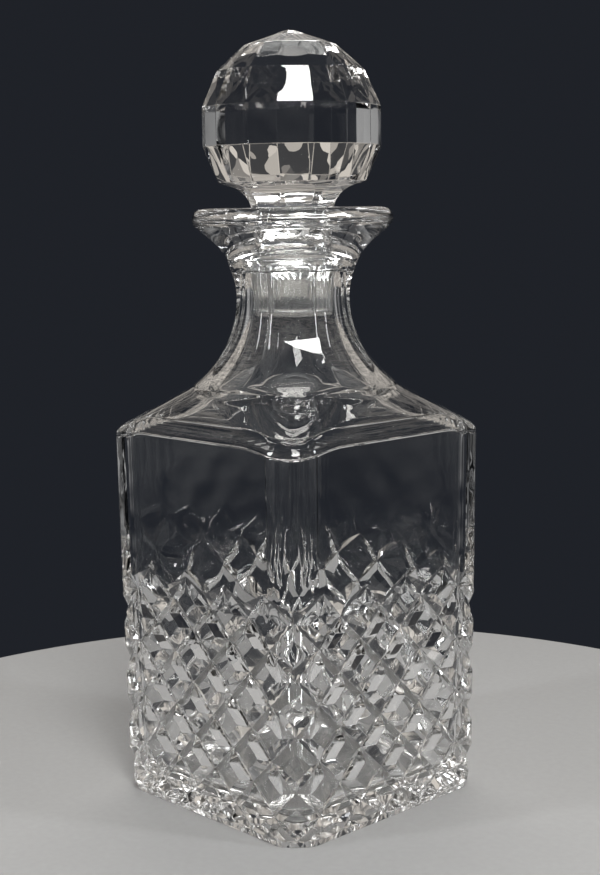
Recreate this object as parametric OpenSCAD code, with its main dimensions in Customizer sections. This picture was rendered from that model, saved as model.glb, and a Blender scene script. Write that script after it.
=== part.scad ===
// Cut crystal decanter: a square bottle with a cut diamond lattice, a fluted neck and a
// faceted ball stopper that sits in a clear sealing sleeve. Millimetres, +Z up, origin at
// the centre of the flat base. The faces are square to X and Y.

/* [Belly] */
// Width across two opposite faces, at the top of the flat faces
belly_w_top = 90.6; // [88:0.2:94]
// Width across two opposite faces, at the base
belly_w_base = 87.4; // [85:0.2:90]
// Radius of the upright corners, at the top of the flat faces
corner_r_top = 11; // [9:0.5:13]
// Height at which the upright corners turn into the shoulder
face_top_z = 118; // [114:0.5:122]
// How far the bevel round the base steps in
base_bevel = 1; // [0.6:0.1:1.4]
// Height of the bevel round the base
base_bevel_h = 2.2; // [1.5:0.1:3]

/* [Cut lattice] */
// Height of the points of the cut diamonds
lattice_top = 79.2; // [72:0.4:80]
// Depth of the V grooves
groove_depth = 1.9; // [1.2:0.1:2.4]
// Share of each diamond that stays flat between its grooves
flat_share = 0.49; // [0.35:0.01:0.6]
// Half the width of a diamond on the flat faces
half_diamond_w = 9.1; // [8.8:0.05:9.4]

/* [Shoulder and neck] */
// Slope of the shoulder, above level
shoulder_slope = 28; // [26:0.5:30]
// Distance from the axis to the middle of a flute, at the waist of the neck
waist_r = 18.2; // [17.6:0.1:19]
// Height of the waist of the neck
waist_z = 166; // [164:0.5:168]
// Radius of the sweep from the waist down to the shoulder
sweep_r = 35; // [33:0.5:37]
// Radius of the sweep from the waist up to the lip
upper_sweep_r = 24; // [23:0.5:26]

/* [Lip and bore] */
// Outer radius of the lip
lip_r = 32.7; // [31:0.1:34]
// Height of the lip's top face
lip_top_z = 194.4; // [193:0.2:196]
// Thickness of the lip's rounded edge
lip_edge_h = 7; // [6:0.2:8]
// Radius of the mouth, above the seat of the sleeve
mouth_r = 14.7; // [14.6:0.1:15.2]
// Height of the seat that the sleeve's flange rests on
seat_z = 175.3; // [174:0.1:176]
// Radius of the neck bore, below the seat
bore_r = 13.7; // [13.6:0.05:14]

/* [Cavity] */
// Thickness of the glass in the middle of the faces
face_wall = 5.5; // [5:0.25:7]
// Thickness of the solid base
base_wall = 6.5; // [6:0.5:12]
// Radius of the cavity's upright corners and of its bottom edge
cavity_r = 5.5; // [5:0.5:14]
// Thickness of the glass at the waist of the neck
neck_wall = 4.9; // [4:0.1:5]

/* [Stopper] */
// Distance from the centre of the ball to the corners of its facets
ball_r = 29.7; // [28:0.1:31]
// Height of the centre of the ball
ball_z = 220; // [219:0.1:221]
// Number of facets round the ball
ball_sides = 16; // [16]
// Angle between two rows of facets, seen from the centre of the ball
row_step = 24; // [23:0.25:24.5]
// Height of the low dome on top of the ball
dome_h = 1.1; // [0.6:0.1:1.5]
// Radius of the hollow curve of the stem
stem_curve_r = 9.5; // [9:0.1:10]
// Radius of the round collar below the stem
collar_r = 12.2; // [12:0.05:12.3]
// Radius of the peg inside the sleeve
peg_r = 11.2; // [10.8:0.05:11.2]
// Turn of the stopper about the upright axis
stopper_turn = -7.1; // [-22:0.1:22]

/* [Sleeve] */
// Running clearance between the peg and the sleeve, on the radius
running_gap = 0.05; // [0.03:0.01:0.08]
// Height of the sleeve's top face, which carries the stopper's collar
sleeve_top_z = 184.7; // [184:0.1:185.5]
// Outer radius of the sleeve's flange
flange_r = 14.3; // [14:0.05:14.35]
// Outer radius of the sleeve's cup just below the flange
cup_r_top = 13.25; // [13:0.05:13.3]
// Outer radius of the sleeve's cup at its foot
cup_r_foot = 12.4; // [12.3:0.05:12.6]
// Height of the foot of the sleeve
sleeve_foot_z = 159.4; // [158:0.1:161]
// Thickness of the sleeve's floor
sleeve_floor = 1.4; // [1:0.1:1.8]

/* [Hidden] */
round_fn = 96;
hull_fn = 32;
half_top = belly_w_top / 2;
half_base = belly_w_base / 2;
corner_centre = half_top - corner_r_top;

// The lattice: columns are counted in half diamonds, 9 from one corner to the next
columns = 36;
columns_per_side = 9;
half_rows = 9;
half_row_h = lattice_top / half_rows;
lattice_cap_z = lattice_top + 4;

// The shoulder and the neck, as one side of their outline
sweep_turn = 90 - shoulder_slope;
sweep_axis_r = waist_r + sweep_r;
sweep_end_r = sweep_axis_r - sweep_r * cos(sweep_turn);
sweep_end_z = waist_z - sweep_r * sin(sweep_turn);
corner_reach = corner_centre * sqrt(2) + corner_r_top;
square_ratio = half_top / corner_reach;
shoulder_round_r = 5;
shoulder_edge_z = sweep_end_z - (corner_reach - sweep_end_r) * tan(shoulder_slope);
shoulder_round_z = shoulder_edge_z - shoulder_round_r * tan(sweep_turn / 2);
shoulder_top_z = 138.5;
shoulder_round_power = 1.3;
flute_top_z = 178;
flute_foot_z = 137;
flute_fade_top = 4;
flute_fade_foot = 18;
flute_fade_power = 0.6;
flute_cut = 3;
upper_turn = 50;
lip_edge_z = lip_top_z - lip_edge_h / 2;
throat_r = sweep_r + neck_wall;
throat_end_z = 130;
mouth_round = 1.5;

// Half the width across the faces at height z
function half_at(z) = half_base + (half_top - half_base) * min(z, face_top_z) / face_top_z;

// Distance from the axis to the inside of the throat at height z
function throat_reach(z) = sweep_axis_r - sqrt(throat_r ^ 2 - (waist_z - z) ^ 2);

// A point on the outer wall: column, height and depth below the surface
function wall_point(column, z, depth) =
    let (
        side = floor(column / columns_per_side),
        across = column - (side + 0.5) * columns_per_side,
        r = half_at(z) - corner_centre,
        flat_end = (columns_per_side / 2 - 1) * half_diamond_w,
        corner_run = corner_centre + r * PI / 4 - flat_end,
        beyond = max(abs(across) - (columns_per_side / 2 - 1), 0),
        run = abs(across) * half_diamond_w,
        along = beyond > 0 ? flat_end + beyond * corner_run : run,
        turn = max(along - corner_centre, 0) / r * 180 / PI,
        x = min(along, corner_centre) + (r - depth) * sin(turn),
        y = corner_centre + (r - depth) * cos(turn),
        mirrored = across < 0 ? -x : x,
        angle = 90 * side
    )
    [mirrored * cos(angle) + y * sin(angle), mirrored * sin(angle) - y * cos(angle), z];

function row_z(row) = max(lattice_top - row * half_row_h, base_bevel_h);
function node_depth(row) = row == 0 ? 0 : row == half_rows ? base_bevel : groove_depth;
function wrap(column) = (column + columns) % columns;

// The rings above the lattice: their points on one side, as columns and then as angles
half_side = columns_per_side / 2;
half_turn_of_flute = 22.5;
ridge_place = half_at(lattice_cap_z) * tan(half_turn_of_flute) / half_diamond_w;
corner_places = [for (third = [1, 2]) half_side - 1 + third / 3];
half_places = concat([0, 0.5, 1.5, ridge_place, 2.5, half_side - 1], corner_places);
last_place = len(half_places) - 1;
ring_places = concat(
    [0],
    [for (i = [last_place : -1 : 1]) half_side - half_places[i]],
    [for (i = [0 : last_place]) half_side + half_places[i]]
);
ring_angles = [
    for (place = ring_places)
        let (point = wall_point(place, lattice_cap_z, 0))
        atan2(point[0], -point[1])
];
side_count = len(ring_places);
ring_count = 4 * side_count;
same_place = 0.01;
place_starts = [
    for (place = [0 : columns_per_side - 1])
        len([for (other = ring_places) if (other < place - same_place) other])
];

// Distance from the axis towards a corner or a flute's middle, at height z
function reach_at(z) =
    z <= shoulder_round_z ? corner_centre * sqrt(2) + half_at(z) - corner_centre :
    z <= sweep_end_z ? shoulder_reach(z) :
    z <= waist_z ? sweep_axis_r - sqrt(sweep_r ^ 2 - (waist_z - z) ^ 2) :
    waist_r + upper_sweep_r - sqrt(upper_sweep_r ^ 2 - (z - waist_z) ^ 2);

// The rounded edge of the shoulder and then its straight slope
function shoulder_reach(z) =
    let (
        rise = z - shoulder_round_z,
        line = corner_reach - (z - shoulder_edge_z) / tan(shoulder_slope),
        in_round = rise < shoulder_round_r * sin(sweep_turn)
    )
    in_round ? corner_reach - shoulder_round_r + sqrt(shoulder_round_r ^ 2 - rise ^ 2) : line;

// Distance from the axis to the middle of a face: it grows from square to round
function face_reach(z) =
    let (
        share = min(max((z - face_top_z) / (shoulder_top_z - face_top_z), 0), 1),
        ratio = square_ratio + (1 - square_ratio) * share ^ shoulder_round_power
    )
    z <= face_top_z ? half_at(z) : reach_at(z) * ratio;

// How far the glass stands out of the flutes: nothing at their two ends
function flute_ridge(z) =
    let (
        foot = (max(z - flute_foot_z, 0) / flute_fade_foot) ^ flute_fade_power,
        top = max(flute_top_z - z, 0) / flute_fade_top
    )
    flute_cut * min(top, foot, 1);

// Distance from the axis to the skin, at an angle from the middle of a face
function skin_reach(angle, reach, half, ridge) =
    let (
        r = (half * sqrt(2) - reach) / (sqrt(2) - 1),
        centre = max(half - r, 0),
        off_face = abs(angle),
        off_corner = 45 - off_face,
        off_flute = min(off_face, off_corner)
    )
    centre < 0.001 ? min(reach / cos(off_flute), reach + ridge) :
    half * tan(off_face) <= centre ? half / cos(off_face) :
    centre * sqrt(2) * cos(off_corner) + sqrt(r ^ 2 - 2 * (centre * sin(off_corner)) ^ 2);

// One level of the skin above the lattice, from the wall to the top of the flutes
function skin_ring(z) =
    let (
        reach = reach_at(z),
        half = face_reach(z),
        ridge = flute_ridge(z)
    )
    [for (side = [0 : 3], angle = ring_angles)
        let (
            ray = min(skin_reach(angle, reach, half, ridge), half_at(z) / cos(angle)),
            turn = angle + 90 * side
        )
        [ray * sin(turn), -ray * cos(turn), z]];

function round_ring(r, z) = [
    for (side = [0 : 3], angle = ring_angles)
        [r * sin(angle + 90 * side), -r * cos(angle + 90 * side), z]
];

skin_levels = concat(
    [lattice_cap_z, face_top_z],
    [for (turn = [20 : 20 : 60]) shoulder_round_z + shoulder_round_r * sin(turn)],
    [for (z = [126 : 2.5 : 133.5]) z],
    [for (turn = [60 : -7.5 : 7.5]) waist_z - sweep_r * sin(turn)],
    [waist_z],
    [for (turn = [6 : 6 : 18]) waist_z + upper_sweep_r * sin(turn)],
    [flute_top_z - flute_fade_top, flute_top_z - flute_fade_top / 2, flute_top_z],
    [for (turn = [36 : 7 : upper_turn]) waist_z + upper_sweep_r * sin(turn)]
);
skin_rings = concat(
    [for (z = skin_levels) skin_ring(z)],
    [for (turn = [-upper_turn : 20 : 90])
        round_ring(lip_r - lip_edge_h / 2 * (1 - cos(turn)), lip_edge_z + lip_edge_h / 2 * sin(turn))]
);

// Points of the body: groove crossings, corners of the flats, the foot, then the rings.
// Crossings are stored for every column and row, so that their numbers are simple.
function crossing(column, row) = wrap(column) + columns * row;
flats_start = columns * (half_rows + 1);
function flat_corner(column, row, i) = flats_start + 4 * (wrap(column) + columns * row) + i;
foot_start = flats_start + 4 * columns * (half_rows + 1);
foot_columns = [
    for (column = [0 : columns - 1])
        for (point = column % 2 == 1 ? [column] : [wrap(column - flat_share), column + flat_share])
            point
];
foot_count = len(foot_columns);
foot_centre = foot_start + foot_count;
rings_start = foot_centre + 1;

body_points = concat(
    [for (row = [0 : half_rows], column = [0 : columns - 1])
        wall_point(column, row_z(row), node_depth(row))],
    [for (row = [0 : half_rows], column = [0 : columns - 1], i = [0 : 3])
        let (
            dx = [0, 1, 0, -1][i] * flat_share,
            dz = [1, 0, -1, 0][i] * flat_share
        )
        wall_point(wrap(column + dx), row_z(row - dz), 0)],
    [for (column = foot_columns) wall_point(column, 0, base_bevel)],
    [[0, 0, 0]],
    [for (ring = skin_rings) each ring]
);

// The four sloped sides and the flat of the diamond centred on this column and row
function diamond_faces(column, row) =
    let (
        top = crossing(column, row - 1),
        right = crossing(column + 1, row),
        foot = crossing(column, row + 1),
        left = crossing(column - 1, row),
        flat = [for (i = [0 : 3]) flat_corner(column, row, i)]
    )
    [
        [top, right, flat[0]], [right, flat[1], flat[0]],
        [right, foot, flat[1]], [foot, flat[2], flat[1]],
        [foot, left, flat[2]], [left, flat[3], flat[2]],
        [left, top, flat[3]], [top, flat[0], flat[3]],
        [flat[0], flat[1], flat[2]], [flat[0], flat[2], flat[3]]
    ];

// The upper half of a diamond that the base cuts through
function half_diamond_faces(column) =
    let (
        top = crossing(column, half_rows - 1),
        right = crossing(column + 1, half_rows),
        left = crossing(column - 1, half_rows),
        flat = [for (i = [0, 1, 3]) flat_corner(column, half_rows, i)]
    )
    [
        [top, right, flat[0]], [right, flat[1], flat[0]],
        [left, top, flat[2]], [top, flat[0], flat[2]],
        [flat[0], flat[1], flat[2]]
    ];

// The two slopes above the grooves between two points of the lattice
function top_slope_faces(column) =
    let (edge = flat_corner(column, 0, 2))
    [
        [crossing(column - 1, 0), edge, crossing(column, 1)],
        [crossing(column, 1), edge, crossing(column + 1, 0)]
    ];

// The plain wall between the points of the lattice and the ring above them
function ring_index(column) =
    floor(column / columns_per_side) * side_count + place_starts[column % columns_per_side];
function rim_faces(column) =
    let (
        rim = [for (c = [column, wrap(column + 1)]) c % 2 == 0 ? crossing(c, 0) : flat_corner(c, 0, 2)],
        first = ring_index(column),
        next = column == columns - 1 ? ring_count : ring_index(column + 1)
    )
    concat(
        [for (i = [first : next - 1]) [rim[0], rings_start + i, rings_start + (i + 1) % ring_count]],
        [[rim[0], rings_start + next % ring_count, rim[1]]]
    );

// The bevel round the base, and the flat base itself
foot_edge = [
    for (column = [0 : columns - 1])
        for (point = column % 2 == 1
                ? [crossing(column, half_rows)]
                : [flat_corner(column, half_rows, 3), flat_corner(column, half_rows, 1)])
            point
];
foot_faces = [
    for (i = [0 : foot_count - 1])
        let (
            j = (i + 1) % foot_count,
            a = foot_start + i,
            b = foot_start + j
        )
        each [[a, foot_edge[i], b], [b, foot_edge[i], foot_edge[j]], [foot_centre, a, b]]
];

// Triangles of the wall between rings of points listed from the bottom up
function wall_faces(start, count, levels) = [
    for (level = [0 : levels - 2], i = [0 : count - 1])
        let (
            a = start + level * count + i,
            b = start + level * count + (i + 1) % count
        )
        each [[a, a + count, b], [b, a + count, b + count]]
];
function top_face(start, count, levels) = [for (i = [count - 1 : -1 : 0]) start + (levels - 1) * count + i];

function is_centre(column, row) = (column + row) % 2 == 1;

body_faces = concat(
    [for (row = [1 : half_rows - 1], column = [0 : columns - 1])
        if (is_centre(column, row)) each diamond_faces(column, row)],
    [for (column = [0 : 2 : columns - 1]) each half_diamond_faces(column)],
    [for (column = [1 : 2 : columns - 1]) each top_slope_faces(column)],
    [for (column = [0 : columns - 1]) each rim_faces(column)],
    foot_faces,
    wall_faces(rings_start, ring_count, len(skin_rings)),
    [top_face(rings_start, ring_count, len(skin_rings))]
);

// A solid through rings that have the same number of points, listed from the bottom up
module loft(rings) {
    count = len(rings[0]);
    polyhedron(
        [for (ring = rings) each ring],
        concat(
            wall_faces(0, count, len(rings)),
            [[for (i = [0 : count - 1]) i]],
            [top_face(0, count, len(rings))]
        ),
        convexity = 6
    );
}

// The main hollow: rounded below, and closing towards the throat above
module cavity() {
    half = half_base - face_wall;
    half_up = half_top - face_wall;
    centre = half - cavity_r;
    hull() {
        for (x = [-centre, centre], y = [-centre, centre]) {
            translate([x, y, base_wall + cavity_r])
                sphere(r = cavity_r, $fn = hull_fn);
            translate([x, y, face_top_z - 1])
                cylinder(r = half_up - centre, h = 1, $fn = hull_fn);
        }
        translate([0, 0, throat_end_z - 1])
            cylinder(r = throat_reach(throat_end_z), h = 1, $fn = 2 * hull_fn);
    }
}

// The throat, the bore, the seat of the sleeve and the mouth, as one turned shape
module neck_bore() {
    throat_foot_z = throat_end_z - 0.5;
    throat = [for (z = [throat_foot_z : 2.5 : waist_z - 1]) [throat_reach(z), z]];
    rounded_mouth = [
        for (turn = [0 : 15 : 90])
            [mouth_r + mouth_round * (1 - cos(turn)), lip_top_z - mouth_round * (1 - sin(turn))]
    ];
    rotate_extrude($fn = round_fn)
        polygon(concat(
            [[0, throat_foot_z]],
            throat,
            [[bore_r, waist_z + 2], [bore_r, seat_z], [mouth_r, seat_z]],
            rounded_mouth,
            [[mouth_r + mouth_round, lip_top_z + 1], [0, lip_top_z + 1]]
        ));
}

// The crystal bottle
module decanter_body() {
    color([0.86, 0.9, 0.93, 0.45])
        difference() {
            polyhedron(body_points, body_faces, convexity = 10);
            cavity();
            neck_bore();
        }
}

// One level of the ball, at a latitude in degrees
function ball_ring(latitude) = [
    for (i = [0 : ball_sides - 1])
        let (
            angle = stopper_turn + i * 360 / ball_sides,
            r = ball_r * cos(latitude)
        )
        [r * cos(angle), r * sin(angle), ball_z + ball_r * sin(latitude)]
];

// One level of the eight-sided stem, with its corners under every second edge of the ball
function stem_ring(z) =
    let (half = stem_waist_r + stem_curve_r - sqrt(max(stem_curve_r ^ 2 - (z - stem_waist_z) ^ 2, 0)))
    [for (i = [0 : ball_sides - 1])
        let (
            angle = stopper_turn + i * 360 / ball_sides,
            ray = i % 2 == 0 ? half / cos(half_turn_of_flute) : half
        )
        [ray * cos(angle), ray * sin(angle), z]];

stem_waist_r = collar_r + 0.1;
stem_waist_z = 192.5;
stem_levels = [for (turn = [0 : 12 : 72]) stem_waist_z + stem_curve_r * sin(turn)];
table_latitude = 82;
ball_levels = [for (i = [-1.5 : 1 : 2.5]) i * row_step];
dome_shares = [0.6, 0.15];

// The solid crystal stopper: faceted ball, waisted stem, round collar and peg
module stopper() {
    peg_foot_z = sleeve_foot_z + sleeve_floor + 0.3;
    peg_round = 1.2;
    table_r = ball_r * cos(table_latitude);
    table_z = ball_z + ball_r * sin(table_latitude);
    dome = [
        for (share = dome_shares)
            [for (point = ball_ring(table_latitude))
                [point[0] * share, point[1] * share, table_z + dome_h * (1 - share ^ 2)]]
    ];
    color([0.93, 0.95, 0.97, 0.6])
        union() {
            loft(concat(
                [for (z = stem_levels) stem_ring(z)],
                [for (latitude = ball_levels) ball_ring(latitude)],
                [ball_ring(table_latitude)],
                dome
            ));
            translate([0, 0, sleeve_top_z])
                cylinder(r = collar_r, h = stem_waist_z + 1 - sleeve_top_z, $fn = round_fn);
            translate([0, 0, peg_foot_z + peg_round])
                cylinder(r = peg_r, h = sleeve_top_z + 1 - peg_foot_z - peg_round, $fn = round_fn);
            translate([0, 0, peg_foot_z])
                cylinder(r1 = peg_r - peg_round, r2 = peg_r, h = peg_round, $fn = round_fn);
        }
}

// The clear sealing sleeve: chamfered flange, tapered cup and rounded foot
module stopper_sleeve() {
    hole_r = peg_r + running_gap;
    foot_round = 1.4;
    foot_centre_r = cup_r_foot - foot_round;
    chamfer_h = 2.3;
    color([0.9, 0.92, 0.92, 0.7])
        rotate_extrude($fn = round_fn)
            polygon(concat(
                [[0, sleeve_foot_z]],
                [for (turn = [0 : 15 : 90])
                    [foot_centre_r + foot_round * sin(turn), sleeve_foot_z + foot_round * (1 - cos(turn))]],
                [
                    [cup_r_top, seat_z],
                    [flange_r, seat_z],
                    [flange_r, sleeve_top_z - chamfer_h],
                    [collar_r + 0.1, sleeve_top_z],
                    [hole_r, sleeve_top_z],
                    [hole_r, sleeve_foot_z + sleeve_floor],
                    [0, sleeve_foot_z + sleeve_floor]
                ]
            ));
}

decanter_body();
stopper();
stopper_sleeve();
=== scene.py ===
"""Looks of the cut crystal decanter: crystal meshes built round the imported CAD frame.

Three pieces stand for the three CAD solids: the bottle with its cut lattice and fluted neck,
the faceted ball stopper, and the clear sealing sleeve. Metres, +Z up, origin on the table.
"""

import math

import bmesh
import bpy
import numpy as np
from mathutils import Matrix, Quaternion, Vector


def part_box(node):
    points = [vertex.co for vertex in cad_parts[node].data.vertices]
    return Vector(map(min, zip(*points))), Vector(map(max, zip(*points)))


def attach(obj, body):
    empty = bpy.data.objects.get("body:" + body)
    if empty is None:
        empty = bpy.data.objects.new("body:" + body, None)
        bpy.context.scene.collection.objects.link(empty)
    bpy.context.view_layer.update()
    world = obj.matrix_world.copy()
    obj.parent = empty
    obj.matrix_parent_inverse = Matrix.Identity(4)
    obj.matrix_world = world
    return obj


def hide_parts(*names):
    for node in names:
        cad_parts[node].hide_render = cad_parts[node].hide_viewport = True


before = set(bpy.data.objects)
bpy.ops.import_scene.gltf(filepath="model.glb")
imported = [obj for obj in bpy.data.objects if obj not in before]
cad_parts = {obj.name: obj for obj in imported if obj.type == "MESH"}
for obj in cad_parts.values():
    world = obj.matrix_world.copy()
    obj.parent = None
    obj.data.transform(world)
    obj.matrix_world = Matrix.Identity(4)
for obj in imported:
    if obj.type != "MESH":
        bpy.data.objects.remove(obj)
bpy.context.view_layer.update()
body_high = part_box("decanter_body")[1]
stopper_low, stopper_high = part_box("stopper")
sleeve_low, sleeve_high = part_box("stopper_sleeve")

# ---------------------------------------------------------------- sizes of the bottle

HALF_TOP = body_high.x
HALF_BASE = HALF_TOP - 0.0016
CORNER_R = 0.011
CORNER_CENTRE = HALF_TOP - CORNER_R
CORNER_FOOT_Z = 0.011       # below this the round corners turn flatter
CORNER_FLATNESS = 0.4       # 0 is a round corner and 1 is a straight chamfer
FACE_TOP_Z = 0.118
BASE_BEVEL = 0.001
BASE_BEVEL_H = 0.0022

COLUMNS = 36                # half diamonds round the belly, with 9 from corner to corner
PER_SIDE = 9
HALF_ROWS = 9
LATTICE_TOP = 0.0792
HALF_ROW_H = LATTICE_TOP / HALF_ROWS
HALF_DIAMOND_W = 0.0091
GROOVE_DEPTH = 0.0019
FLAT_SHARE = 0.49           # share of a diamond that stays flat between its grooves
LATTICE_CAP_Z = LATTICE_TOP + 0.004
ALONG = 6                   # mesh steps along a facet, which is also the steps in each column
ACROSS = 2                  # mesh steps down a groove's side
FINE_STEP = 0.0005          # height between rings of the mesh where the shape changes fast

SLOPE = math.radians(28)
SWEEP_TURN = math.pi / 2 - SLOPE
WAIST_R = 0.0182
WAIST_Z = 0.166
SWEEP_R = 0.035
UPPER_SWEEP_R = 0.024
SWEEP_AXIS_R = WAIST_R + SWEEP_R
EDGE_BLEND = 0.0036         # width of the rounding between the wall and the shoulder
LINE_DROP = 0.0024          # the fine line round each plain panel, below the shoulder's edge
LINE_HALF_W = 0.0004
LINE_DEPTH = 0.00028
UPPER_LINE_RISE = 0.0048    # a second, fainter line above the rounded edge
UPPER_LINE_HALF_H = 0.00022
UPPER_LINE_DEPTH = 0.0002
STRIP_EDGE = 0.23           # the same line beside the corner strips, as a share of a column
SHOULDER_TOP_Z = 0.1385
ROUND_POWER = 1.3           # how late the square shoulder turns into the round neck
FLUTE_FOOT_Z = 0.137
FLUTE_TOP_Z = 0.178
FLUTE_FADE_FOOT = 0.018
FLUTE_FADE_POWER = 0.6      # under 1, the flutes deepen fast and then slowly
FLUTE_FADE_TOP = 0.004
FLUTE_CUT = 0.003
FLUTE_BLEND = 0.00025
FLUTE_SWELL = 0.00016

LIP_TOP_Z = body_high.z
LIP_R = 0.0327
LIP_EDGE_R = 0.0035
LIP_TURN = math.radians(50)
MOUTH_ROUND = 0.0015
MOUTH_R = 0.0147
SEAT_Z = 0.1753
BORE_R = 0.0137

FACE_WALL = 0.0055
BASE_WALL = 0.0065
CAVITY_R = 0.0055
CAVITY_CORNER_R = 0.007
CAVITY_BLEND = 0.002
CAVITY_MORPH_DROP = 0.0055
CAVITY_WAVE = 0.00008       # the inside was blown, so it is a little wavy
CAVITY_WAVE_TOP_Z = 0.112

# ---------------------------------------------------------------- sizes of the stopper and sleeve

BALL_Z = 0.220
BALL_R = 0.0297
BALL_SIDES = 16
BALL_LATITUDES = [-36, -12, 12, 36, 60, 82]
FACET_SWELL = 0.008         # height of a facet's polished swell, as a share of its width
DOME_H = stopper_high.z - BALL_Z - BALL_R * math.sin(math.radians(BALL_LATITUDES[-1]))
STOPPER_TURN = math.radians(-7.1)
STEM_WAIST_R = 0.0123
STEM_WAIST_Z = 0.1925
STEM_CURVE_R = 0.0095
COLLAR_R = 0.0122
PEG_R = 0.0112
PEG_ROUND = 0.0012
SLEEVE_TOP_Z = sleeve_high.z
SLEEVE_FOOT_Z = sleeve_low.z
FLANGE_R = sleeve_high.x


# ---------------------------------------------------------------- camera, floor and light

CAMERA_AZIMUTH = math.radians(46.536)
DARK_BACKDROP = (0.014, 0.016, 0.021, 1)


def make_camera():
    """The camera stands at the height of the lip, in front of the corner between +X and -Y."""
    yaw = math.radians(-0.157)
    pitch = math.radians(8.066)
    roll = math.radians(-0.842)
    distance = 0.5094
    height = 0.1913
    heading = CAMERA_AZIMUTH + yaw
    level = Vector((-math.sin(heading), math.cos(heading), 0))
    forward = level * math.cos(pitch) - Vector((0, 0, math.sin(pitch)))
    right = forward.cross(Vector((0, 0, 1))).normalized()
    up = right.cross(forward)
    right_rolled = right * math.cos(roll) + up * math.sin(roll)
    up_rolled = up * math.cos(roll) - right * math.sin(roll)
    data = bpy.data.cameras.new("camera")
    data.sensor_fit = "VERTICAL"
    data.sensor_height = 24
    data.lens = 42.63
    data.clip_start = 0.01
    camera = bpy.data.objects.new("camera", data)
    bpy.context.scene.collection.objects.link(camera)
    turn = Matrix((right_rolled, up_rolled, -forward)).transposed()
    x = math.sin(CAMERA_AZIMUTH) * distance
    y = -math.cos(CAMERA_AZIMUTH) * distance
    camera.matrix_world = Matrix.Translation((x, y, height)) @ turn.to_4x4()
    bpy.context.scene.camera = camera


def make_floor():
    """A plain pale round table top."""
    radius = 0.21
    thickness = 0.012
    edge = 0.003
    top = -0.0001
    profile = [(0.0, top - thickness), (radius - edge, top - thickness)]
    profile += arc(radius - edge, top - thickness + edge, edge, -90, 0, 6)
    profile += arc(radius - edge, top - edge, edge, 0, 90, 6)
    profile += [(0.0, top)]
    floor = revolve("floor", profile, 128)
    floor.data.materials.append(pale_floor())


def add_light(name, azimuth, elevation, distance, size_x, size_y, power, color, tilt=0):
    """A soft rectangular light that looks at the middle of the decanter."""
    aim = Vector((0, 0, 0.13))
    a = math.radians(azimuth)
    e = math.radians(elevation)
    away = Vector((math.sin(a) * math.cos(e), -math.cos(a) * math.cos(e), math.sin(e)))
    data = bpy.data.lights.new(name, "AREA")
    data.shape = "RECTANGLE"
    data.size = size_x
    data.size_y = size_y
    data.energy = power
    data.color = color
    light = bpy.data.objects.new(name, data)
    bpy.context.scene.collection.objects.link(light)
    light.location = aim + away * distance
    turn = away.to_track_quat("Z", "Y") @ Quaternion((0, 0, 1), math.radians(tilt))
    light.rotation_euler = turn.to_euler()


def make_lights():
    add_light("front_window", 58.5, 48, 1.1, 0.33, 0.5, 12.0, (1.0, 0.99, 0.97), -30)
    add_light("left_strip", -20, 24, 1.0, 0.07, 0.5, 3.2, (0.96, 0.98, 1.0))
    add_light("right_strip", 112, 24, 1.0, 0.07, 0.5, 3.2, (0.96, 0.98, 1.0))
    add_light("back_top", 226, 62, 1.1, 0.6, 0.3, 4, (1.0, 0.97, 0.93))


def make_world():
    """A dark backdrop behind and below, and a soft pale room and ceiling round the rest."""
    world = bpy.data.worlds.new("studio")
    world.use_nodes = True
    tree = world.node_tree
    coords = tree.nodes.new("ShaderNodeTexCoord")
    direction = coords.outputs["Generated"]
    split = tree.nodes.new("ShaderNodeSeparateXYZ")
    tree.links.new(direction, split.inputs[0])
    behind = tree.nodes.new("ShaderNodeVectorMath")
    behind.operation = "DOT_PRODUCT"
    behind.inputs[1].default_value = (-math.sin(CAMERA_AZIMUTH), math.cos(CAMERA_AZIMUTH), 0)
    tree.links.new(direction, behind.inputs[0])
    patches = tree.nodes.new("ShaderNodeTexVoronoi")
    patches.inputs["Scale"].default_value = 60
    tree.links.new(direction, patches.inputs["Vector"])
    patch_share = tree.nodes.new("ShaderNodeSeparateColor")
    tree.links.new(patches.outputs["Color"], patch_share.inputs["Color"])
    ceiling = tree.nodes.new("ShaderNodeValToRGB")
    ceiling.color_ramp.elements[0].position = 0.25
    ceiling.color_ramp.elements[0].color = (0.05, 0.05, 0.052, 1)
    ceiling.color_ramp.elements[1].position = 0.70
    ceiling.color_ramp.elements[1].color = (0.66, 0.61, 0.55, 1)
    tree.links.new(patch_share.outputs["Red"], ceiling.inputs["Fac"])
    ceiling_color = mix_colors(tree, ceiling.outputs["Color"], (0.11, 0.115, 0.125, 1),
                               smooth(tree, split.outputs["Z"], 0.6, 0.85))
    clouds = tree.nodes.new("ShaderNodeTexNoise")
    clouds.inputs["Scale"].default_value = 2.5
    clouds.inputs["Detail"].default_value = 1
    tree.links.new(direction, clouds.inputs["Vector"])
    walls = tree.nodes.new("ShaderNodeValToRGB")
    walls.color_ramp.elements[0].position = 0.45
    walls.color_ramp.elements[0].color = (0.03, 0.031, 0.034, 1)
    walls.color_ramp.elements[1].position = 0.62
    walls.color_ramp.elements[1].color = (0.36, 0.36, 0.36, 1)
    tree.links.new(clouds.outputs["Fac"], walls.inputs["Fac"])
    above_horizon = smooth(tree, split.outputs["Z"], 0.137, 0.165)
    room = mix_colors(tree, walls.outputs["Color"], ceiling_color, above_horizon)
    backdrop = mix_colors(tree, DARK_BACKDROP, ceiling_color, above_horizon)
    above = mix_colors(tree, room, backdrop, smooth(tree, behind.outputs["Value"], 0.66, 0.86))
    whole = mix_colors(tree, DARK_BACKDROP, above, smooth(tree, split.outputs["Z"], -0.25, -0.1))
    tree.links.new(whole, tree.nodes["Background"].inputs["Color"])
    bpy.context.scene.world = world


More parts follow.
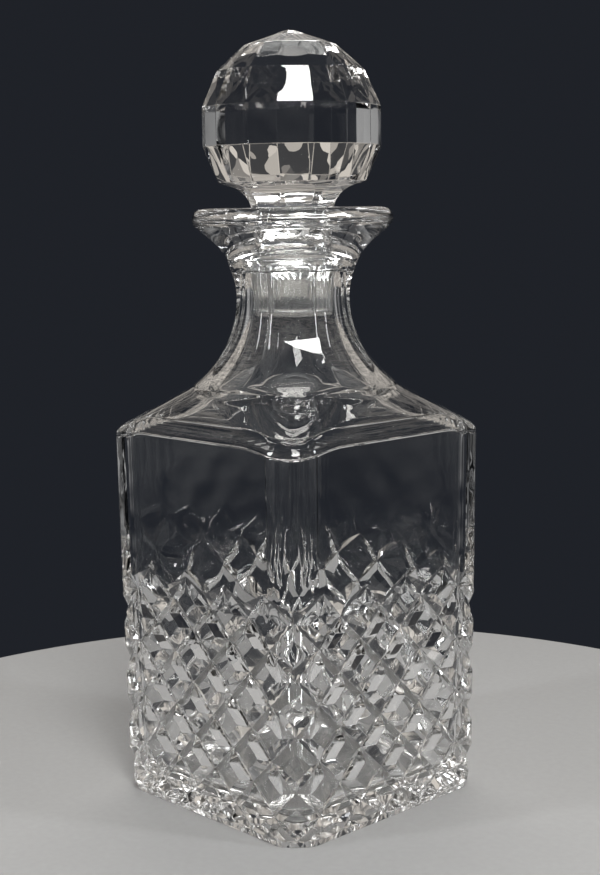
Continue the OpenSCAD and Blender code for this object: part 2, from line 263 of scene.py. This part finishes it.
def smooth(tree, source, low, high):
    """0 below low and 1 above high, with a smooth change between them."""
    node = tree.nodes.new("ShaderNodeMapRange")
    node.interpolation_type = "SMOOTHSTEP"
    node.inputs["From Min"].default_value = low
    node.inputs["From Max"].default_value = high
    tree.links.new(source, node.inputs["Value"])
    return node.outputs["Result"]


def mix_colors(tree, first, second, share):
    """From the first colour to the second as the share goes from 0 to 1."""
    node = tree.nodes.new("ShaderNodeMix")
    node.data_type = "RGBA"
    tree.links.new(share, node.inputs["Factor"])
    for value, socket in ((first, node.inputs["A"]), (second, node.inputs["B"])):
        if isinstance(value, tuple):
            socket.default_value = value
        else:
            tree.links.new(value, socket)
    return node.outputs["Result"]


def set_up_scene():
    scene = bpy.context.scene
    scene.view_settings.view_transform = "Standard"
    scene.cycles.max_bounces = 48
    scene.cycles.transmission_bounces = 48
    scene.cycles.glossy_bounces = 12
    scene.cycles.transparent_max_bounces = 16
    scene.cycles.sample_clamp_indirect = 12


# ---------------------------------------------------------------- materials

def new_material(name):
    """A material with its node tree, and the tree's shader."""
    material = bpy.data.materials.new(name)
    material.use_nodes = True
    return material, material.node_tree, material.node_tree.nodes["Principled BSDF"]


def noise(tree, scale, detail, stretch=(1, 1, 1)):
    """A noise texture in object space, stretched along the axes."""
    coords = tree.nodes.new("ShaderNodeTexCoord")
    mapping = tree.nodes.new("ShaderNodeMapping")
    mapping.inputs["Scale"].default_value = stretch
    texture = tree.nodes.new("ShaderNodeTexNoise")
    texture.inputs["Scale"].default_value = scale
    texture.inputs["Detail"].default_value = detail
    tree.links.new(coords.outputs["Object"], mapping.inputs["Vector"])
    tree.links.new(mapping.outputs["Vector"], texture.inputs["Vector"])
    return texture


def map_range(tree, source, low, high, to_low, to_high):
    node = tree.nodes.new("ShaderNodeMapRange")
    node.inputs["From Min"].default_value = low
    node.inputs["From Max"].default_value = high
    node.inputs["To Min"].default_value = to_low
    node.inputs["To Max"].default_value = to_high
    tree.links.new(source, node.inputs["Value"])
    return node.outputs["Result"]


def crystal(name, tint, wave_height):
    """Polished lead crystal: clear, heavy and very slightly wavy from the polishing wheel."""
    material, tree, shader = new_material(name)
    shader.inputs["Base Color"].default_value = tint
    shader.inputs["Transmission Weight"].default_value = 1.0
    shader.inputs["IOR"].default_value = 1.55
    haze = noise(tree, 160, 3)
    roughness = map_range(tree, haze.outputs["Fac"], 0.35, 0.7, 0.0, 0.006)
    tree.links.new(roughness, shader.inputs["Roughness"])
    waves = noise(tree, 70, 1)
    bump = tree.nodes.new("ShaderNodeBump")
    bump.inputs["Strength"].default_value = 0.25
    bump.inputs["Distance"].default_value = wave_height
    tree.links.new(waves.outputs["Fac"], bump.inputs["Height"])
    tree.links.new(bump.outputs["Normal"], shader.inputs["Normal"])
    return material


def sleeve_plastic():
    """Clear soft plastic, a little cloudy, with fine rubbed marks."""
    material, tree, shader = new_material("clear_plastic")
    shader.inputs["Base Color"].default_value = (0.97, 0.98, 0.98, 1)
    shader.inputs["Transmission Weight"].default_value = 0.94
    shader.inputs["IOR"].default_value = 1.5
    rubbed = noise(tree, 300, 4, (1, 1, 0.2))
    roughness = map_range(tree, rubbed.outputs["Fac"], 0.3, 0.7, 0.0, 0.03)
    tree.links.new(roughness, shader.inputs["Roughness"])
    bump = tree.nodes.new("ShaderNodeBump")
    bump.inputs["Strength"].default_value = 0.2
    bump.inputs["Distance"].default_value = 0.00005
    tree.links.new(rubbed.outputs["Fac"], bump.inputs["Height"])
    tree.links.new(bump.outputs["Normal"], shader.inputs["Normal"])
    return material


def pale_floor():
    material, tree, shader = new_material("pale_floor")
    grain = noise(tree, 400, 3)
    ramp = tree.nodes.new("ShaderNodeValToRGB")
    ramp.color_ramp.elements[0].color = (0.30, 0.30, 0.30, 1)
    ramp.color_ramp.elements[1].color = (0.34, 0.34, 0.34, 1)
    tree.links.new(grain.outputs["Fac"], ramp.inputs["Fac"])
    tree.links.new(ramp.outputs["Color"], shader.inputs["Base Color"])
    shader.inputs["Roughness"].default_value = 0.6
    return material


# ---------------------------------------------------------------- mesh helpers

def arc(centre_r, centre_z, radius, start, end, steps):
    """Points of an arc in a turned outline, as (r, z), between two angles in degrees."""
    turns = [math.radians(start + (end - start) * i / steps) for i in range(steps + 1)]
    return [(centre_r + radius * math.cos(t), centre_z + radius * math.sin(t)) for t in turns]


def make_piece(name, verts, faces, sharp_angle):
    """A mesh object with doubled points joined, smooth but for edges sharper than the angle."""
    mesh = bpy.data.meshes.new(name)
    mesh.from_pydata([tuple(v) for v in verts], [], faces)
    work = bmesh.new()
    work.from_mesh(mesh)
    bmesh.ops.remove_doubles(work, verts=work.verts, dist=2e-6)
    bmesh.ops.dissolve_degenerate(work, edges=work.edges, dist=1e-6)
    bmesh.ops.recalc_face_normals(work, faces=work.faces)
    for face in work.faces:
        face.smooth = True
    limit = math.radians(sharp_angle)
    for edge in work.edges:
        edge.smooth = len(edge.link_faces) == 2 and edge.calc_face_angle() < limit
    open_edges = sum(1 for edge in work.edges if len(edge.link_faces) != 2)
    print(name, "faces", len(work.faces), "open edges", open_edges)
    work.to_mesh(mesh)
    work.free()
    piece = bpy.data.objects.new(name, mesh)
    bpy.context.scene.collection.objects.link(piece)
    return piece


def strips(rings, closed=True):
    """Faces between rings of points, as (points, faces). The rings all have the same number."""
    count = len(rings[0])
    verts = [point for ring in rings for point in ring]
    faces = []
    for level in range(len(rings) - 1):
        for i in range(count if closed else count - 1):
            a = level * count + i
            b = level * count + (i + 1) % count
            faces.append((a, b, b + count, a + count))
    return verts, faces


def revolve(name, profile, segments):
    """A closed turned shape from an outline of (r, z) that starts and ends on the axis."""
    inner = profile[1:-1]
    rings = []
    for r, z in inner:
        rings.append([
            (r * math.cos(2 * math.pi * i / segments), r * math.sin(2 * math.pi * i / segments), z)
            for i in range(segments)
        ])
    verts, faces = strips(rings)
    for ring, end in ((0, profile[0]), (len(rings) - 1, profile[-1])):
        verts.append((0, 0, end[1]))
        first = ring * segments
        faces += [(len(verts) - 1, first + i, first + (i + 1) % segments) for i in range(segments)]
    return make_piece(name, verts, faces, 35)


def soft_min(a, b, k):
    """The lesser of two lengths, with the crossing rounded over a width k."""
    share = np.clip(0.5 + 0.5 * (b - a) / k, 0, 1)
    return b * (1 - share) + a * share - k * share * (1 - share)


# ---------------------------------------------------------------- the bottle's outer wall

def half_at(z):
    """Half the width across the faces at a height."""
    return HALF_BASE + (HALF_TOP - HALF_BASE) * np.minimum(z, FACE_TOP_Z) / FACE_TOP_Z


def wall_point(column, z, depth):
    """A point on the outer wall from its column, height and depth below the surface."""
    column = np.asarray(column, float) % COLUMNS
    side = np.floor(column / PER_SIDE)
    across = column - (side + 0.5) * PER_SIDE
    r = half_at(z) - CORNER_CENTRE
    straight = PER_SIDE / 2 - 1
    flat_end = straight * HALF_DIAMOND_W
    corner_run = CORNER_CENTRE + r * math.pi / 4 - flat_end
    beyond = np.maximum(np.abs(across) - straight, 0)
    along = np.where(beyond > 0, flat_end + beyond * corner_run, np.abs(across) * HALF_DIAMOND_W)
    turn = np.maximum(along - CORNER_CENTRE, 0) / r
    flatness = CORNER_FLATNESS * np.clip((CORNER_FOOT_Z - z) / (CORNER_FOOT_Z - BASE_BEVEL_H), 0, 1)
    chord = math.cos(math.pi / 4) / np.cos(turn - math.pi / 4)
    r = np.where(turn > 0, r * (1 - flatness * (1 - chord)), r)
    x = (np.minimum(along, CORNER_CENTRE) + (r - depth) * np.sin(turn)) * np.sign(across)
    y = CORNER_CENTRE + (r - depth) * np.cos(turn)
    a = side * math.pi / 2
    return np.stack([x * np.cos(a) + y * np.sin(a), x * np.sin(a) - y * np.cos(a), z + 0 * x], -1)


def row_z(row):
    return max(LATTICE_TOP - row * HALF_ROW_H, BASE_BEVEL_H)


def crossing(column, row):
    """Where two grooves cross: its column, height and depth."""
    depth = 0 if row == 0 else BASE_BEVEL if row == HALF_ROWS else GROOVE_DEPTH
    return column, row_z(row), depth


def flat_corner(column, row, i):
    """A corner of the flat in the middle of a diamond, from the top and going right."""
    dx = (0, 1, 0, -1)[i] * FLAT_SHARE
    dz = (1, 0, -1, 0)[i] * FLAT_SHARE
    return column + dx, row_z(row - dz), 0


def patch(a, b, c, d, steps_ab, steps_bc):
    """Points and faces of a curved four-sided facet whose corners go round it."""
    a, b, c, d = (np.array(corner, float) for corner in (a, b, c, d))
    s = np.linspace(0, 1, steps_ab + 1)[None, :, None]
    t = np.linspace(0, 1, steps_bc + 1)[:, None, None]
    grid = (a * (1 - s) + b * s) * (1 - t) + (d * (1 - s) + c * s) * t
    points = wall_point(grid[..., 0], grid[..., 1], grid[..., 2])
    return strips([list(row) for row in points], closed=False)


def lattice_patches():
    """Every facet of the cut lattice: four slopes and a flat for each diamond, and the top slopes."""
    patches = []
    for row in range(1, HALF_ROWS + 1):
        for column in range(COLUMNS):
            if (column + row) % 2 == 0:
                continue
            flat = [flat_corner(column, row, i) for i in range(4)]
            top = crossing(column, row - 1)
            right = crossing(column + 1, row)
            left = crossing(column - 1, row)
            patches.append(patch(top, right, flat[1], flat[0], ALONG, ACROSS))
            patches.append(patch(left, top, flat[0], flat[3], ALONG, ACROSS))
            if row == HALF_ROWS:
                patches.append(patch(flat[3], flat[0], flat[0], flat[1], ALONG, ALONG))
                continue
            foot = crossing(column, row + 1)
            patches.append(patch(right, foot, flat[2], flat[1], ALONG, ACROSS))
            patches.append(patch(foot, left, flat[3], flat[2], ALONG, ACROSS))
            patches.append(patch(flat[0], flat[1], flat[2], flat[3], ALONG, ALONG))
    for column in range(1, COLUMNS, 2):
        edge = flat_corner(column, 0, 2)
        foot = crossing(column, 1)
        patches.append(patch(crossing(column - 1, 0), foot, foot, edge, ALONG, ALONG))
        patches.append(patch(foot, crossing(column + 1, 0), edge, edge, ALONG, ALONG))
    return patches


def rim_columns():
    """Columns of the plain wall above the lattice: the same points as the facets below end in."""
    return np.arange(COLUMNS * ALONG) / ALONG


def rim_rings():
    """From the points of the lattice up to the plain wall."""
    columns = rim_columns()
    from_edge = np.abs(columns % 2 - 1)
    valley = row_z(FLAT_SHARE)
    start = valley + (LATTICE_TOP - valley) * from_edge
    shares = np.linspace(0, 1, 4)
    return [list(wall_point(columns, start + (LATTICE_CAP_Z - start) * share, 0)) for share in shares]


def foot_rings():
    """The bevel round the base, under the cut ends of the diamonds."""
    points = []
    for column in range(0, COLUMNS, 2):
        left, right = column - FLAT_SHARE, column + FLAT_SHARE
        valley = column + 1
        next_left = column + 2 - FLAT_SHARE
        points += [(left + (right - left) * i / ALONG, 0) for i in range(ALONG)]
        for i in range(ACROSS):
            points.append((right + (valley - right) * i / ACROSS, BASE_BEVEL * i / ACROSS))
        for i in range(ACROSS):
            points.append((valley + (next_left - valley) * i / ACROSS, BASE_BEVEL * (1 - i / ACROSS)))
    columns = np.array([p[0] for p in points])
    depths = np.array([p[1] for p in points])
    return [list(wall_point(columns, 0.0, BASE_BEVEL)), list(wall_point(columns, BASE_BEVEL_H, depths))]


def wall_columns():
    """Columns of the plain wall: three of them move to each side's line beside the corner."""
    columns = rim_columns()
    across = columns % PER_SIDE - PER_SIDE / 2
    beyond = np.abs(across) - (PER_SIDE / 2 - 1)
    corner_column_w = HALF_DIAMOND_W + 0.002
    half_w = LINE_HALF_W / corner_column_w
    moved = beyond.copy()
    for step, place in ((1, STRIP_EDGE - half_w), (2, STRIP_EDGE), (3, STRIP_EDGE + half_w)):
        moved = np.where(np.abs(beyond * ALONG - step) < 0.1, place, moved)
    on_line = np.abs(beyond * ALONG - 2) < 0.1
    return columns + np.sign(across) * (moved - beyond), on_line


def column_angles(columns):
    """Angles of a ring's points from the middle of their face, and from the -Y axis."""
    points = wall_point(columns, LATTICE_CAP_Z, 0)
    turn = np.degrees(np.arctan2(points[:, 0], -points[:, 1]))
    side = np.round(turn / 90)
    side[0] = 0
    off = turn - side * 90
    return off, side


def ring_angles(flute_share):
    """Angles of the rings' points from the middle of a face, and from the -Y axis.

    As the share goes up to 1, the points nearest to the ridges between the flutes move onto them.
    """
    off, side = column_angles(rim_columns())
    wall_off = column_angles(wall_columns()[0])[0]
    size = np.abs(off)
    ridge = size[np.argmin(np.abs(size - 22.5))]
    low = size * 22.5 / ridge
    high = 22.5 + (size - ridge) * 22.5 / (45 - ridge)
    fluted = np.where(size <= ridge, low, high)
    size = np.abs(wall_off) * (1 - flute_share) + fluted * flute_share
    return np.radians(size), np.radians(side * 90 + np.sign(off) * size)


def square_radius(off, reach, half):
    """Distance from the axis to a rounded square, off an angle from the middle of a side."""
    r = (half * math.sqrt(2) - reach) / (math.sqrt(2) - 1)
    centre = np.maximum(half - r, 0)
    off_corner = math.pi / 4 - off
    under = np.maximum(r * r - 2 * (centre * np.sin(off_corner)) ** 2, 0)
    rounded = centre * math.sqrt(2) * np.cos(off_corner) + np.sqrt(under)
    return np.where(half * np.tan(off) <= centre, half / np.cos(off), rounded)


def sweep_reach(z, radius):
    """The slope of the shoulder and the sweep up to the waist, for the outer wall or the inner."""
    z = np.asarray(z, float)
    end_z = WAIST_Z - radius * math.sin(SWEEP_TURN)
    end_r = SWEEP_AXIS_R - radius * math.cos(SWEEP_TURN)
    slope = end_r + (end_z - z) / math.tan(SLOPE)
    lower = SWEEP_AXIS_R - np.sqrt(np.maximum(radius ** 2 - (WAIST_Z - z) ** 2, 0))
    upper = WAIST_R + UPPER_SWEEP_R - np.sqrt(np.maximum(UPPER_SWEEP_R ** 2 - (z - WAIST_Z) ** 2, 0))
    return np.where(z < end_z, slope, np.where(z <= WAIST_Z, lower, upper))


CORNER_REACH = CORNER_CENTRE * math.sqrt(2) + CORNER_R
SQUARE_RATIO = HALF_TOP / CORNER_REACH


def roundness(z, drop=0):
    """Face reach over corner reach: square below the shoulder, 1 where the neck is round."""
    share = (z + drop - FACE_TOP_Z) / (SHOULDER_TOP_Z - FACE_TOP_Z)
    return SQUARE_RATIO + (1 - SQUARE_RATIO) * np.clip(share, 0, 1) ** ROUND_POWER


def polar_ring(radius, turn, z):
    """Points at each radius and turn from the -Y axis. The height is one number or one for each."""
    heights = z + 0 * turn
    return [Vector((r * math.sin(t), -r * math.cos(t), h)) for r, t, h in zip(radius, turn, heights)]


def flute_strength(z):
    """1 along the flutes, and 0 at their two ends."""
    foot = max((z - FLUTE_FOOT_Z) / FLUTE_FADE_FOOT, 0) ** FLUTE_FADE_POWER
    return max(min((FLUTE_TOP_Z - z) / FLUTE_FADE_TOP, foot, 1), 0)


def shoulder_radius(z, off):
    """The shoulder's slope before it is rounded into the wall."""
    reach = sweep_reach(z, SWEEP_R)
    return square_radius(off, reach, reach * roundness(z))


def wall_radius(z, off):
    reach = CORNER_CENTRE * math.sqrt(2) + half_at(z) - CORNER_CENTRE
    return square_radius(off, reach, half_at(z))


def edge_height(off):
    """Height at which the shoulder's slope meets the wall, at each angle."""
    below_edge = 0.100
    above_edge = 0.135
    halvings = 30
    low = np.full_like(off, below_edge)
    high = np.full_like(off, above_edge)
    for _ in range(halvings):
        middle = (low + high) / 2
        inside = shoulder_radius(middle, off) > wall_radius(middle, off)
        low = np.where(inside, middle, low)
        high = np.where(inside, high, middle)
    return low


def shoulder_ring(z, off, turn, cut):
    """One level of the wall and the shoulder, with a line cut into it."""
    radius = soft_min(shoulder_radius(z, off), wall_radius(z, off), EDGE_BLEND)
    return polar_ring(radius - cut, turn, z)


def shoulder_rings():
    """The wall above the lattice, its fine border line, and the shoulder up to the flutes."""
    off, turn = ring_angles(0)
    line_z = edge_height(off) - LINE_DROP
    on_line = wall_columns()[1]
    wall_steps = 8
    shoulder_steps = 18
    rings = []
    for share in np.linspace(0, 1, wall_steps + 1)[1:]:
        z = LATTICE_CAP_Z + (line_z - LINE_HALF_W - LATTICE_CAP_Z) * share
        strip_cut = LINE_DEPTH * min(share * 4, 1)    # the strip's line deepens over the first quarter
        rings.append(shoulder_ring(z, off, turn, strip_cut * on_line))
    rings.append(shoulder_ring(line_z, off, turn, LINE_DEPTH))
    line_top = line_z + LINE_HALF_W
    for rise in np.arange(0, UPPER_LINE_RISE - UPPER_LINE_HALF_H, FINE_STEP):
        rings.append(shoulder_ring(line_top + rise, off, turn, 0))
    upper_z = line_top + UPPER_LINE_RISE
    for step, cut in ((-1, 0), (0, UPPER_LINE_DEPTH), (1, 0)):
        rings.append(shoulder_ring(upper_z + step * UPPER_LINE_HALF_H, off, turn, cut))
    start = upper_z + UPPER_LINE_HALF_H
    for share in np.linspace(0, 1, shoulder_steps + 1)[1:]:
        off, turn = ring_angles(share)
        z = start + (FLUTE_FOOT_Z - 0.002 - start) * share
        rings.append(shoulder_ring(z, off, turn, 0))
    return rings


def flute_ring(z, off, turn):
    """One level of the neck, where flat flutes cut into the round sweep."""
    reach = sweep_reach(z, SWEEP_R)
    strength = flute_strength(z)
    off_flute = np.minimum(off, math.pi / 4 - off)
    swell = FLUTE_SWELL * strength * (1 - (off_flute * 8 / math.pi) ** 2)
    skin = shoulder_radius(z, off) + FLUTE_CUT * strength
    return polar_ring(soft_min(reach / np.cos(off_flute) + swell, skin, FLUTE_BLEND), turn, z)


def cavity_ring(z, off, turn):
    """One level of the main hollow and the throat above it."""
    inset = 0
    floor_z = BASE_WALL + CAVITY_R
    if z < floor_z:
        inset = CAVITY_R - math.sqrt(max(CAVITY_R ** 2 - (floor_z - z) ** 2, 0))
    half = half_at(z) - FACE_WALL - inset
    corner = CAVITY_CORNER_R - inset
    wall = square_radius(off, (half - corner) * math.sqrt(2) + corner, half)
    reach = sweep_reach(z, SWEEP_AXIS_R - BORE_R)
    slope = square_radius(off, reach, reach * roundness(z, CAVITY_MORPH_DROP))
    fade_top = max((CAVITY_WAVE_TOP_Z - z) / 0.01, 0)
    fade_foot = max((z - BASE_WALL) / 0.008, 0)
    waves = np.sin(420 * z + 5 * turn) * np.cos(11 * turn - 150 * z) + 0.6 * np.sin(230 * z - 13 * turn)
    waves *= CAVITY_WAVE * min(fade_top, fade_foot, 1)
    return polar_ring(soft_min(slope, wall, CAVITY_BLEND) + waves, turn, z)


def outer_rings():
    """The rings from the plain wall up to the top of the lip, and down the mouth to the bore."""
    seat_round = 0.0004
    bore_round = 0.0003
    off, turn = ring_angles(1)
    # The rings lie closer where the flutes start and where they end
    levels = list(np.arange(FLUTE_FOOT_Z - 0.0015, 0.1445, FINE_STEP))
    levels += list(np.arange(0.145, 0.1725, 2 * FINE_STEP))
    levels += list(np.arange(0.173, 0.1795, FINE_STEP))
    lip_foot_z = WAIST_Z + UPPER_SWEEP_R * math.sin(LIP_TURN)
    levels += list(np.arange(0.180, lip_foot_z, 2 * FINE_STEP))
    rings = shoulder_rings() + [flute_ring(z, off, turn) for z in levels]
    lip = arc(LIP_R - LIP_EDGE_R, LIP_TOP_Z - LIP_EDGE_R, LIP_EDGE_R, -math.degrees(LIP_TURN), 90, 18)
    lip += [(MOUTH_R + MOUTH_ROUND, LIP_TOP_Z)]
    lip += arc(MOUTH_R + MOUTH_ROUND, LIP_TOP_Z - MOUTH_ROUND, MOUTH_ROUND, 90, 180, 8)[1:]
    lip += [(MOUTH_R, SEAT_Z + 0.0005)]
    lip += arc(MOUTH_R - seat_round, SEAT_Z + seat_round, seat_round, 0, -90, 3)
    lip += arc(BORE_R + bore_round, SEAT_Z - bore_round, bore_round, 90, 180, 3)
    lip += [(BORE_R, WAIST_Z + 0.002)]
    rings += [polar_ring([r] * len(turn), turn, z) for r, z in lip]
    return rings


def inner_rings():
    """The rings from the bore down to the floor of the hollow."""
    off, turn = ring_angles(1)
    # The rings lie closest where the belly closes towards the throat
    throat_foot_z = 0.134
    belly_top_z = 0.108
    levels = list(np.arange(WAIST_Z, throat_foot_z, -0.0015))
    levels += list(np.arange(throat_foot_z, belly_top_z, -0.0007))
    levels += list(np.linspace(belly_top_z - 0.002, BASE_WALL + CAVITY_R, 42))
    for angle in range(8, 89, 8):
        levels.append(BASE_WALL + CAVITY_R * (1 - math.sin(math.radians(angle))))
    levels.append(BASE_WALL)
    return [cavity_ring(z, off, turn) for z in levels]


def make_body():
    """The crystal bottle as one closed mesh, from the base round the lip to the hollow's floor."""
    verts, faces = [], []

    def add(part):
        start = len(verts)
        verts.extend(part[0])
        faces.extend([tuple(start + i for i in face) for face in part[1]])

    for part in lattice_patches():
        add(part)
    rim = rim_rings()
    add(strips(rim))
    add(strips([rim[-1]] + outer_rings() + inner_rings()))
    foot = foot_rings()
    add(strips(foot))
    base_start = len(verts)
    verts.extend(foot[0])
    faces.append(tuple(range(base_start, len(verts))))
    floor_start = len(verts)
    verts.extend(inner_rings()[-1])
    faces.append(tuple(range(floor_start, len(verts))))
    piece = make_piece("crystal_body", verts, faces, 14)
    soften_edges(piece, 0.0002, 14)
    piece.data.materials.append(crystal("crystal", (0.985, 0.99, 0.99, 1), 0.0001))
    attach(piece, "decanter")
    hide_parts("decanter_body")


def soften_edges(piece, width, angle):
    """Polished arrises: every sharp edge gets a tiny rounding that catches the light."""
    bevel = piece.modifiers.new("polished_edges", "BEVEL")
    bevel.width = width
    bevel.segments = 2
    bevel.limit_method = "ANGLE"
    bevel.angle_limit = math.radians(angle)
    bevel.use_clamp_overlap = True
    bevel.harden_normals = False


# ---------------------------------------------------------------- the stopper and its sleeve

def ball_ring(latitude):
    """One ring of facet corners on the ball, at a latitude in degrees."""
    angle = math.radians(latitude)
    r = BALL_R * math.cos(angle)
    z = BALL_Z + BALL_R * math.sin(angle)
    return [(r * math.cos(STOPPER_TURN + 2 * math.pi * i / BALL_SIDES),
             r * math.sin(STOPPER_TURN + 2 * math.pi * i / BALL_SIDES), z) for i in range(BALL_SIDES)]


def stem_ring(z):
    """One level of the eight-panelled stem, with a ridge under every second edge of the ball."""
    half = STEM_WAIST_R + STEM_CURVE_R - math.sqrt(max(STEM_CURVE_R ** 2 - (z - STEM_WAIST_Z) ** 2, 0))
    ring = []
    for i in range(BALL_SIDES):
        angle = STOPPER_TURN + 2 * math.pi * i / BALL_SIDES
        r = half / math.cos(math.pi / 8) if i % 2 == 0 else half
        ring.append((r * math.cos(angle), r * math.sin(angle), z))
    return ring


def facet_rings(low, high, fine):
    """The rings between two latitudes, where each facet has the slight swell of hand polishing."""
    centre = Vector((0, 0, BALL_Z))
    lower, upper = ball_ring(low), ball_ring(high)
    rings = []
    for step in range(1, fine + 1):
        v = step / fine
        ring = []
        for i in range(BALL_SIDES):
            j = (i + 1) % BALL_SIDES
            width = (Vector(lower[i]) - Vector(lower[j])).length
            unevenness = 1 + 0.7 * math.sin(7.3 * i + 2.1 * low)    # no two facets swell alike
            for k in range(fine):
                u = k / fine
                left = Vector(lower[i]).lerp(Vector(upper[i]), v)
                point = left.lerp(Vector(lower[j]).lerp(Vector(upper[j]), v), u)
                swell = FACET_SWELL * width * unevenness * 16 * u * (1 - u) * v * (1 - v)
                ring.append(point + (point - centre).normalized() * swell)
        rings.append(ring)
    return rings


def make_stopper():
    """The solid stopper: peg, collar, panelled stem and faceted ball with a low dome."""
    fine = 6
    collar_round = 0.0003
    peg_foot = stopper_low.z

    def refined(ring):
        """The same ring with more points, straight between its corners."""
        return [tuple(Vector(ring[i]).lerp(Vector(ring[(i + 1) % len(ring)]), j / fine))
                for i in range(len(ring)) for j in range(fine)]

    def turned(r, z):
        count = BALL_SIDES * fine
        return [(r * math.cos(STOPPER_TURN + 2 * math.pi * i / count),
                 r * math.sin(STOPPER_TURN + 2 * math.pi * i / count), z) for i in range(count)]

    rings = [turned(r, z) for r, z in arc(PEG_R - PEG_ROUND, peg_foot + PEG_ROUND, PEG_ROUND, -90, 0, 6)]
    rings.append(turned(PEG_R, SLEEVE_TOP_Z))
    rings.append(turned(COLLAR_R - collar_round, SLEEVE_TOP_Z))
    rings.append(turned(COLLAR_R, SLEEVE_TOP_Z + collar_round))
    rings.append(turned(COLLAR_R, STEM_WAIST_Z - 2 * collar_round))
    for turn in range(0, 73, 6):
        rings.append(refined(stem_ring(STEM_WAIST_Z + STEM_CURVE_R * math.sin(math.radians(turn)))))
    rings.append(refined(ball_ring(BALL_LATITUDES[0])))
    for low, high in zip(BALL_LATITUDES, BALL_LATITUDES[1:]):
        rings += facet_rings(low, high, fine)
    table_r = BALL_R * math.cos(math.radians(BALL_LATITUDES[-1]))
    table_z = BALL_Z + BALL_R * math.sin(math.radians(BALL_LATITUDES[-1]))
    for share in (0.8, 0.6, 0.4, 0.2):
        rings.append(turned(table_r * share, table_z + DOME_H * (1 - share ** 2)))
    verts, faces = strips(rings)
    count = BALL_SIDES * fine
    faces.append(tuple(range(count)))
    verts.append((0, 0, table_z + DOME_H))
    last = (len(rings) - 1) * count
    faces += [(len(verts) - 1, last + i, last + (i + 1) % count) for i in range(count)]
    piece = make_piece("crystal_stopper", verts, faces, 12)
    soften_edges(piece, 0.00015, 12)
    piece.data.materials.append(crystal("stopper_crystal", (0.985, 0.985, 0.98, 1), 0.00006))
    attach(piece, "stopper")
    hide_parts("stopper")


def make_sleeve():
    """The clear sleeve: chamfered flange, tapered and ribbed cup with a round foot, and peg hole."""
    hole_r = PEG_R + 0.00005
    floor_z = SLEEVE_FOOT_Z + 0.0014
    foot_round = 0.0014
    cup_foot_r = 0.0124
    cup_top_r = 0.01325
    chamfer = 0.0023
    ribs = 40
    rib_depth = 0.0003
    profile = [(0.0, SLEEVE_FOOT_Z)]
    profile += arc(cup_foot_r - foot_round, SLEEVE_FOOT_Z + foot_round, foot_round, -90, 0, 8)
    profile += [(cup_foot_r + 0.0001, SLEEVE_FOOT_Z + foot_round + 0.001)]
    profile += [(cup_top_r - 0.00015, SEAT_Z - 0.002), (cup_top_r, SEAT_Z - 0.0012), (cup_top_r, SEAT_Z)]
    profile += [(FLANGE_R, SEAT_Z), (FLANGE_R, SLEEVE_TOP_Z - chamfer)]
    profile += [(COLLAR_R + 0.0001, SLEEVE_TOP_Z), (hole_r, SLEEVE_TOP_Z)]
    profile += [(hole_r, floor_z), (0.0, floor_z)]
    piece = revolve("clear_sleeve", profile, ribs * 8)
    for vertex in piece.data.vertices:
        r = math.hypot(vertex.co.x, vertex.co.y)
        outside = r > hole_r + 0.0004
        if outside and SLEEVE_FOOT_Z + 0.002 < vertex.co.z < SEAT_Z - 0.0015:
            turn = math.atan2(vertex.co.y, vertex.co.x)
            deeper = 1 - rib_depth / r * (0.5 - 0.5 * math.cos(turn * ribs))
            vertex.co.x *= deeper
            vertex.co.y *= deeper
    soften_edges(piece, 0.0002, 30)
    piece.data.materials.append(sleeve_plastic())
    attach(piece, "sleeve")
    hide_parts("stopper_sleeve")


make_camera()
make_floor()
make_lights()
make_world()
set_up_scene()
make_body()
make_stopper()
make_sleeve()
